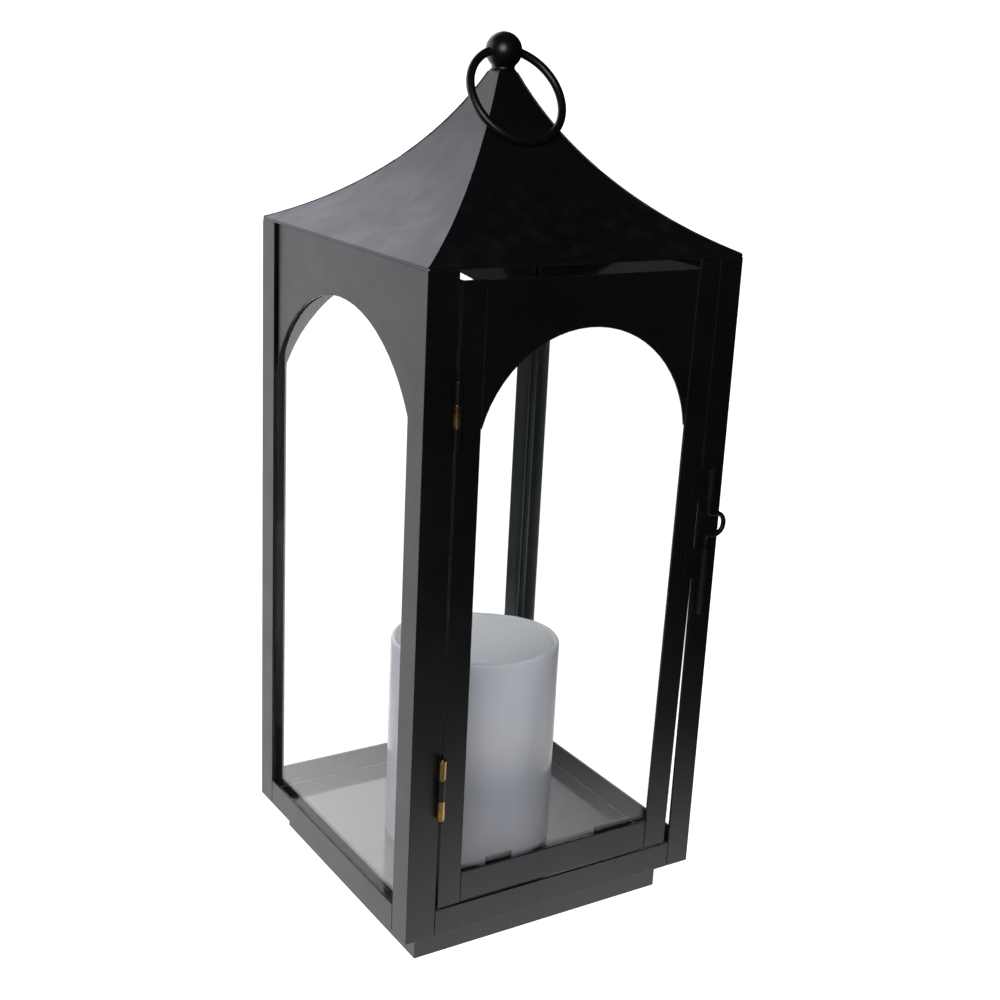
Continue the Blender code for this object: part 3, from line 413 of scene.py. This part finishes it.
def add_piece(name, points, faces, material, body=LANTERN, place=(0, 0, 0)):
    """A smooth closed mesh, in millimetres, which rides on a body of the lantern."""
    mesh = bpy.data.meshes.new(name)
    mesh.from_pydata([Vector(point) * MM for point in points], [], faces)
    shape = bmesh.new()
    shape.from_mesh(mesh)
    bmesh.ops.recalc_face_normals(shape, faces=shape.faces)
    shape.to_mesh(mesh)
    shape.free()
    mesh.shade_smooth()
    mesh.set_sharp_from_angle(angle=SHARP_ANGLE)
    mesh.materials.append(material)
    piece = bpy.data.objects.new(name, mesh)
    piece.location = Vector(place) * MM
    bpy.context.scene.collection.objects.link(piece)
    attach(piece, body)
    return piece


def swept(rings, closed=False):
    """Points and faces of a skin over equal rings, with flat ends unless it is closed."""
    count = len(rings[0])
    points = [point for ring in rings for point in ring]
    faces = []
    for row in range(len(rings) if closed else len(rings) - 1):
        here, there = row * count, (row + 1) % len(rings) * count
        for i in range(count):
            j = (i + 1) % count
            faces.append((here + i, here + j, there + j, there + i))
    if not closed:
        faces += [tuple(range(count)), tuple(range(len(points) - count, len(points)))]
    return points, faces


def turns(count):
    """Equal angles once round, from 0."""
    return [2 * math.pi * i / count for i in range(count)]


def circle(centre, along, radius, sides):
    """A ring of points about a centre, square to a direction."""
    along = Vector(along).normalized()
    first = along.orthogonal().normalized()
    second = along.cross(first)
    return [
        Vector(centre) + (first * math.cos(a) + second * math.sin(a)) * radius for a in turns(sides)
    ]


CANDLE_PLACE = (-3.0, -4.0, 0.0)
CANDLE_RADIUS = 38.2
CANDLE_INNER = 35.6
CANDLE_SIDES = 160
CANDLE_LEVELS = (30, 42, 54, 66, 78, 90, 102)
CANDLE_INNER_LEVELS = (102, 90, 60)
FOOT_HEIGHT = 18.8
FOOT_RADIUS = 36.6
FOOT_ROUNDING = 3.0  # how high the foot's rounded edge reaches
LEDGE_HEIGHT, LEDGE_RADIUS = 3.2, 34.6
RIM_LEVEL = 116.5
RIM_ROUNDING = 1.5
RIM_TILT, RIM_TILT_WAY = 1.9, math.radians(237)
RIM_WAVE, RIM_WAVE_START = 0.6, 0.7
RIM_HUMP, RIM_HUMP_WAY = 1.5, math.radians(287)
RIM_RIPPLE = 0.45
WALL_RIPPLE = 0.22


def rim_height(angle):
    """The melted rim: the same slow waves as in the CAD, with finer drips."""
    level = RIM_LEVEL + RIM_TILT * math.cos(angle - RIM_TILT_WAY)
    level += RIM_WAVE * math.cos(3 * angle + RIM_WAVE_START)
    level += RIM_HUMP * max(0.0, math.cos(angle - RIM_HUMP_WAY)) ** 8
    ripple = noise.noise(Vector((2.2 * math.cos(angle), 2.2 * math.sin(angle), 0.4)))
    return level + RIM_RIPPLE * ripple


def candle_ring(radius, height, from_rim=False):
    """One level of the candle's wall, a little uneven like poured wax."""
    ring = []
    for angle in turns(CANDLE_SIDES):
        level = rim_height(angle) - height if from_rim else height
        spot = Vector((math.cos(angle) * 1.6, math.sin(angle) * 1.6, level / 32.0))
        uneven = WALL_RIPPLE * noise.noise(spot) if level > FOOT_HEIGHT + 4 else 0.0
        reach = radius + uneven
        ring.append((reach * math.cos(angle), reach * math.sin(angle), level))
    return ring


def add_candle_shell():
    """The hollow candle: up the outside, over the rounded rim, and down the inside to a ledge."""
    rings = [candle_ring(CANDLE_INNER, FOOT_HEIGHT), candle_ring(FOOT_RADIUS, FOOT_HEIGHT)]
    for step in range(1, 6):
        turn = math.radians(18 * step)
        reach = FOOT_RADIUS + (CANDLE_RADIUS - FOOT_RADIUS) * math.sin(turn)
        rings.append(candle_ring(reach, FOOT_HEIGHT + FOOT_ROUNDING * (1 - math.cos(turn))))
    rings += [candle_ring(CANDLE_RADIUS, height) for height in CANDLE_LEVELS]
    middle = (CANDLE_RADIUS + CANDLE_INNER) / 2
    half = (CANDLE_RADIUS - CANDLE_INNER) / 2
    for step in range(9):
        turn = math.radians(22.5 * step)
        drop = RIM_ROUNDING * (1 - math.sin(turn))
        rings.append(candle_ring(middle + half * math.cos(turn), drop, from_rim=True))
    rings += [candle_ring(CANDLE_INNER, height) for height in CANDLE_INNER_LEVELS]
    rings.append(candle_ring(CANDLE_INNER, FOOT_HEIGHT + 4))
    rings.append(candle_ring(LEDGE_RADIUS, FOOT_HEIGHT + LEDGE_HEIGHT))
    rings.append(candle_ring(LEDGE_RADIUS, FOOT_HEIGHT))
    points, faces = swept(rings, closed=True)
    shell = add_piece("candle_wall", points, faces, wax, place=CANDLE_PLACE)
    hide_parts("candle_shell")


BALL_HEIGHT = 376.3
BALL_RADIUS = 7.7
BALL_SIDES, BALL_STEPS = 72, 32
NECK = ((5.3, 368.75), (4.95, 369.2), (4.85, 369.7), (4.95, 370.2), (5.25, 370.6))
UP = (0, 0, 1)


def add_ball():
    """The finial ball, drawn round, with the weld that joins its neck to the roof."""
    rings = [circle((0, 0, height), UP, radius, BALL_SIDES) for radius, height in NECK]
    low = math.asin((NECK[-1][1] + 0.3 - BALL_HEIGHT) / BALL_RADIUS)
    high = math.pi / 2 - 0.03
    for step in range(BALL_STEPS + 1):
        turn = low + (high - low) * step / BALL_STEPS
        centre = (0, 0, BALL_HEIGHT + BALL_RADIUS * math.sin(turn))
        rings.append(circle(centre, UP, BALL_RADIUS * math.cos(turn), BALL_SIDES))
    points, faces = swept(rings)
    ball = add_piece("round_ball", points, faces, satin)
    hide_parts("finial_ball", "finial_collar")


RING_RADIUS = 21.4  # to the middle of its wire
WIRE_RADIUS = 1.8
RING_LEAN = math.radians(34.2)  # from straight down, towards the door
RING_DROP = 20.7  # from the ball's middle to the ring's, with the play in the ball's hole


def add_ring():
    """The carrying ring of round wire, as it hangs against the front slope."""
    down = Vector((0, -math.sin(RING_LEAN), -math.cos(RING_LEAN)))
    across = down.cross(Vector((1, 0, 0)))
    middle = Vector((0, 0, BALL_HEIGHT)) + down * RING_DROP
    rings = []
    for around in turns(120):
        outward = Vector((math.cos(around), 0, 0)) + down * math.sin(around)
        rings.append([
            middle
            + outward * (RING_RADIUS + WIRE_RADIUS * math.cos(a))
            + across * WIRE_RADIUS * math.sin(a)
            for a in turns(24)
        ])
    points, faces = swept(rings, closed=True)
    ring = add_piece("round_ring", points, faces, satin, body="ring")
    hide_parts("carry_ring")


# The roof's hip seen from the side: half its width and its height at both ends, and its sag
EAVE, PEAK, HIP_SAG = Vector((74.9, 300.4)), Vector((4.0, 368.8)), 9.0
HIP_BOTTOM, HIP_TOP = 74.6, 4.4  # half the width at the bead's ends
HIP_STEPS = 30
BEAD_RADIUS = 0.5
BEAD_IN, BEAD_DOWN = 0.1, 0.25  # how deep the bead sits in the seam
HEAD_OUT, HEAD_THICKNESS, HEAD_LENGTH = 74.8, 1.0, 12.0
HEAD_LEVELS = (298.8, 299.3)


def hip_heights():
    """Half the roof's width and its height, in steps up the curved hip."""
    chord = (PEAK - EAVE).length
    radius = chord**2 / (8 * HIP_SAG) + HIP_SAG / 2
    outward = Vector((PEAK.y - EAVE.y, EAVE.x - PEAK.x)).normalized()
    centre = (EAVE + PEAK) / 2 + outward * (radius - HIP_SAG)
    for step in range(HIP_STEPS + 1):
        half = HIP_BOTTOM + (HIP_TOP - HIP_BOTTOM) * step / HIP_STEPS
        yield half, centre.y - math.sqrt(radius**2 - (centre.x - half) ** 2)


def add_beads():
    """Paint that fills the joints of welded sheet: along the hips and on the posts' heads."""
    inner, reach = EAVE.x - HEAD_THICKNESS, EAVE.x - HEAD_LENGTH
    corner = [
        (HEAD_OUT, HEAD_OUT), (reach, HEAD_OUT), (reach, inner),
        (inner, inner), (inner, reach), (HEAD_OUT, reach),
    ]
    for number, (sx, sy) in enumerate(((-1, -1), (1, -1), (1, 1), (-1, 1)), 1):
        spots = [
            Vector((sx * (half - BEAD_IN), sy * (half - BEAD_IN), height - BEAD_DOWN))
            for half, height in hip_heights()
        ]
        rings = []
        for i, spot in enumerate(spots):
            along = spots[min(i + 1, HIP_STEPS)] - spots[max(i - 1, 0)]
            rings.append(circle(spot, along, BEAD_RADIUS, 10))
        points, faces = swept(rings)
        add_piece(f"hip_bead_{number}", points, faces, coat)

        rings = [[(sx * x, sy * y, z) for x, y in corner] for z in HEAD_LEVELS]
        points, faces = swept(rings)
        add_piece(f"post_bead_{number}", points, faces, coat)


add_candle_shell()
add_ball()
add_ring()
add_beads()


# ---------------------------------------------------------------- camera, floor and light


def facing(right, above, back, place):
    """The matrix of a camera or lamp that looks away from its back."""
    matrix = Matrix((right, above, back)).transposed().to_4x4()
    matrix.translation = place
    return matrix


CAMERA_PLACE = Vector((-0.35082, -0.56016, 0.38628))
CAMERA_YAW = 0.5712  # radians, from +Y towards +X
CAMERA_PITCH = 0.3007  # below the horizon
CAMERA_ROLL = 0.0501
CAMERA_LENS = 55.07
CAMERA_SENSOR = 36.0


def add_camera():
    """The camera, turned by its yaw, pitch and roll."""
    forward = Vector((
        math.sin(CAMERA_YAW) * math.cos(CAMERA_PITCH),
        math.cos(CAMERA_YAW) * math.cos(CAMERA_PITCH),
        -math.sin(CAMERA_PITCH),
    ))
    right = Vector((math.cos(CAMERA_YAW), -math.sin(CAMERA_YAW), 0))
    above = right.cross(forward)
    turned_right = math.cos(CAMERA_ROLL) * right + math.sin(CAMERA_ROLL) * above
    turned_above = math.cos(CAMERA_ROLL) * above - math.sin(CAMERA_ROLL) * right
    data = bpy.data.cameras.new("camera")
    data.lens = CAMERA_LENS
    data.sensor_width = CAMERA_SENSOR
    data.clip_start = 0.01
    camera = bpy.data.objects.new("camera", data)
    bpy.context.scene.collection.objects.link(camera)
    camera.matrix_world = facing(turned_right, turned_above, -forward, CAMERA_PLACE)
    bpy.context.scene.camera = camera


def add_lamp(name, place, target, size, power, colour=(1, 1, 1)):
    """A round area lamp that faces a point."""
    data = bpy.data.lights.new(name, "AREA")
    data.shape = "DISK"
    data.size = size
    data.energy = power
    data.color = colour
    lamp = bpy.data.objects.new(name, data)
    bpy.context.scene.collection.objects.link(lamp)
    back = (Vector(place) - Vector(target)).normalized()
    right = Vector(UP).cross(back).normalized()
    lamp.matrix_world = facing(right, back.cross(right), back, Vector(place))


FLOOR_RADIUS = 0.8
FLOOR_SOLID, FLOOR_FADE = 0.06, 0.31  # the radii where its fade starts and ends
FLOOR_GLOW = 1.25


def add_floor():
    """A pale round floor that fades out well before its rim."""
    g = material_graph("studio_floor")
    shade = g.mix(g.noise(30.0, detail=3.0), (0.30, 0.30, 0.305), (0.27, 0.27, 0.275))
    white = (1, 1, 1, 1)
    solid = g.node("BsdfPrincipled", Base_Color=shade, Roughness=0.6, Emission_Color=white)
    solid.inputs["Emission Strength"].default_value = FLOOR_GLOW
    clear = g.node("BsdfTransparent")
    faded = g.ramp(g.vector_math("LENGTH", g.place), FLOOR_SOLID, FLOOR_FADE)
    g.finish(g.blend(faded, solid.outputs[0], clear.outputs[0]))
    disc = bmesh.new()
    bmesh.ops.create_circle(disc, cap_ends=True, segments=96, radius=FLOOR_RADIUS)
    mesh = bpy.data.meshes.new("floor")
    disc.to_mesh(mesh)
    disc.free()
    mesh.materials.append(g.owner)
    floor = bpy.data.objects.new("floor", mesh)
    bpy.context.scene.collection.objects.link(floor)


SWEEP_WAY = (-0.25, 0.95, 0.1)
ROOM_LIGHT = (0.008, 1.45)  # strength of the dark room and of the sweep behind the lantern
PANE_LIGHT = (0.12, 2.4)  # the same, as the panes show them
ROOM_COLOUR = (0.96, 0.97, 1.0, 1)
WHITE_STRENGTH = 1.35


def add_world():
    """White for the camera; the lantern is lit by a bright sweep behind it in a dark room."""
    g = Graph(bpy.data.worlds.new("studio"), "OutputWorld")
    path = g.node("LightPath").outputs
    way = g.coordinates["Generated"]
    across, ahead, up = (g.along(axis, way) for axis in "XYZ")
    low = g.ramp(up, 0.45, 0.68, 1.0, 0.0)
    back = g.ramp(g.vector_math("DOT_PRODUCT", way, SWEEP_WAY), 0.55, 0.80)
    outside = g.ramp(g.math("MULTIPLY", low, back), 0.0, 1.0, *ROOM_LIGHT)

    # Through the panes the room shows only its bright wall, behind and a little to the right
    left_edge = g.ramp(across, -0.1, 0.3)
    right_edge = g.ramp(across, 0.44, 0.56, 1.0, 0.25)
    wall = g.math("MULTIPLY", g.math("MULTIPLY", left_edge, right_edge), low)
    behind = g.ramp(ahead, 0.3, 0.6)
    inside = g.ramp(g.math("MULTIPLY", wall, behind), 0.0, 1.0, *PANE_LIGHT)
    panes = g.math("GREATER_THAN", path["Transmission Depth"], 0.5)
    strength = g.node("Mix", Factor=panes, A=outside, B=inside).outputs[0]
    room = g.node("Background", Color=ROOM_COLOUR, Strength=strength)
    white = g.node("Background", Color=(1, 1, 1, 1), Strength=WHITE_STRENGTH)

    # The camera sees white, straight or through a pane; all else sees the room
    bounced = g.math("ADD", path["Glossy Depth"], path["Diffuse Depth"])
    straight = g.math("LESS_THAN", bounced, 0.5)
    through = g.math("MULTIPLY", path["Is Transmission Ray"], straight)
    seen = g.math("MAXIMUM", path["Is Camera Ray"], through)
    g.finish(g.blend(seen, room.outputs[0], white.outputs[0]))
    bpy.context.scene.world = g.owner


add_camera()
add_floor()
add_world()
add_lamp("key", (-0.75, -0.95, 0.72), (0, 0, 0.12), 0.8, 7.5)
add_lamp("sweep", (0.09, 1.43, 1.33), (0, 0, 0.33), 0.9, 2.0, (0.78, 0.80, 1.0))
bpy.context.scene.view_settings.view_transform = "Standard"
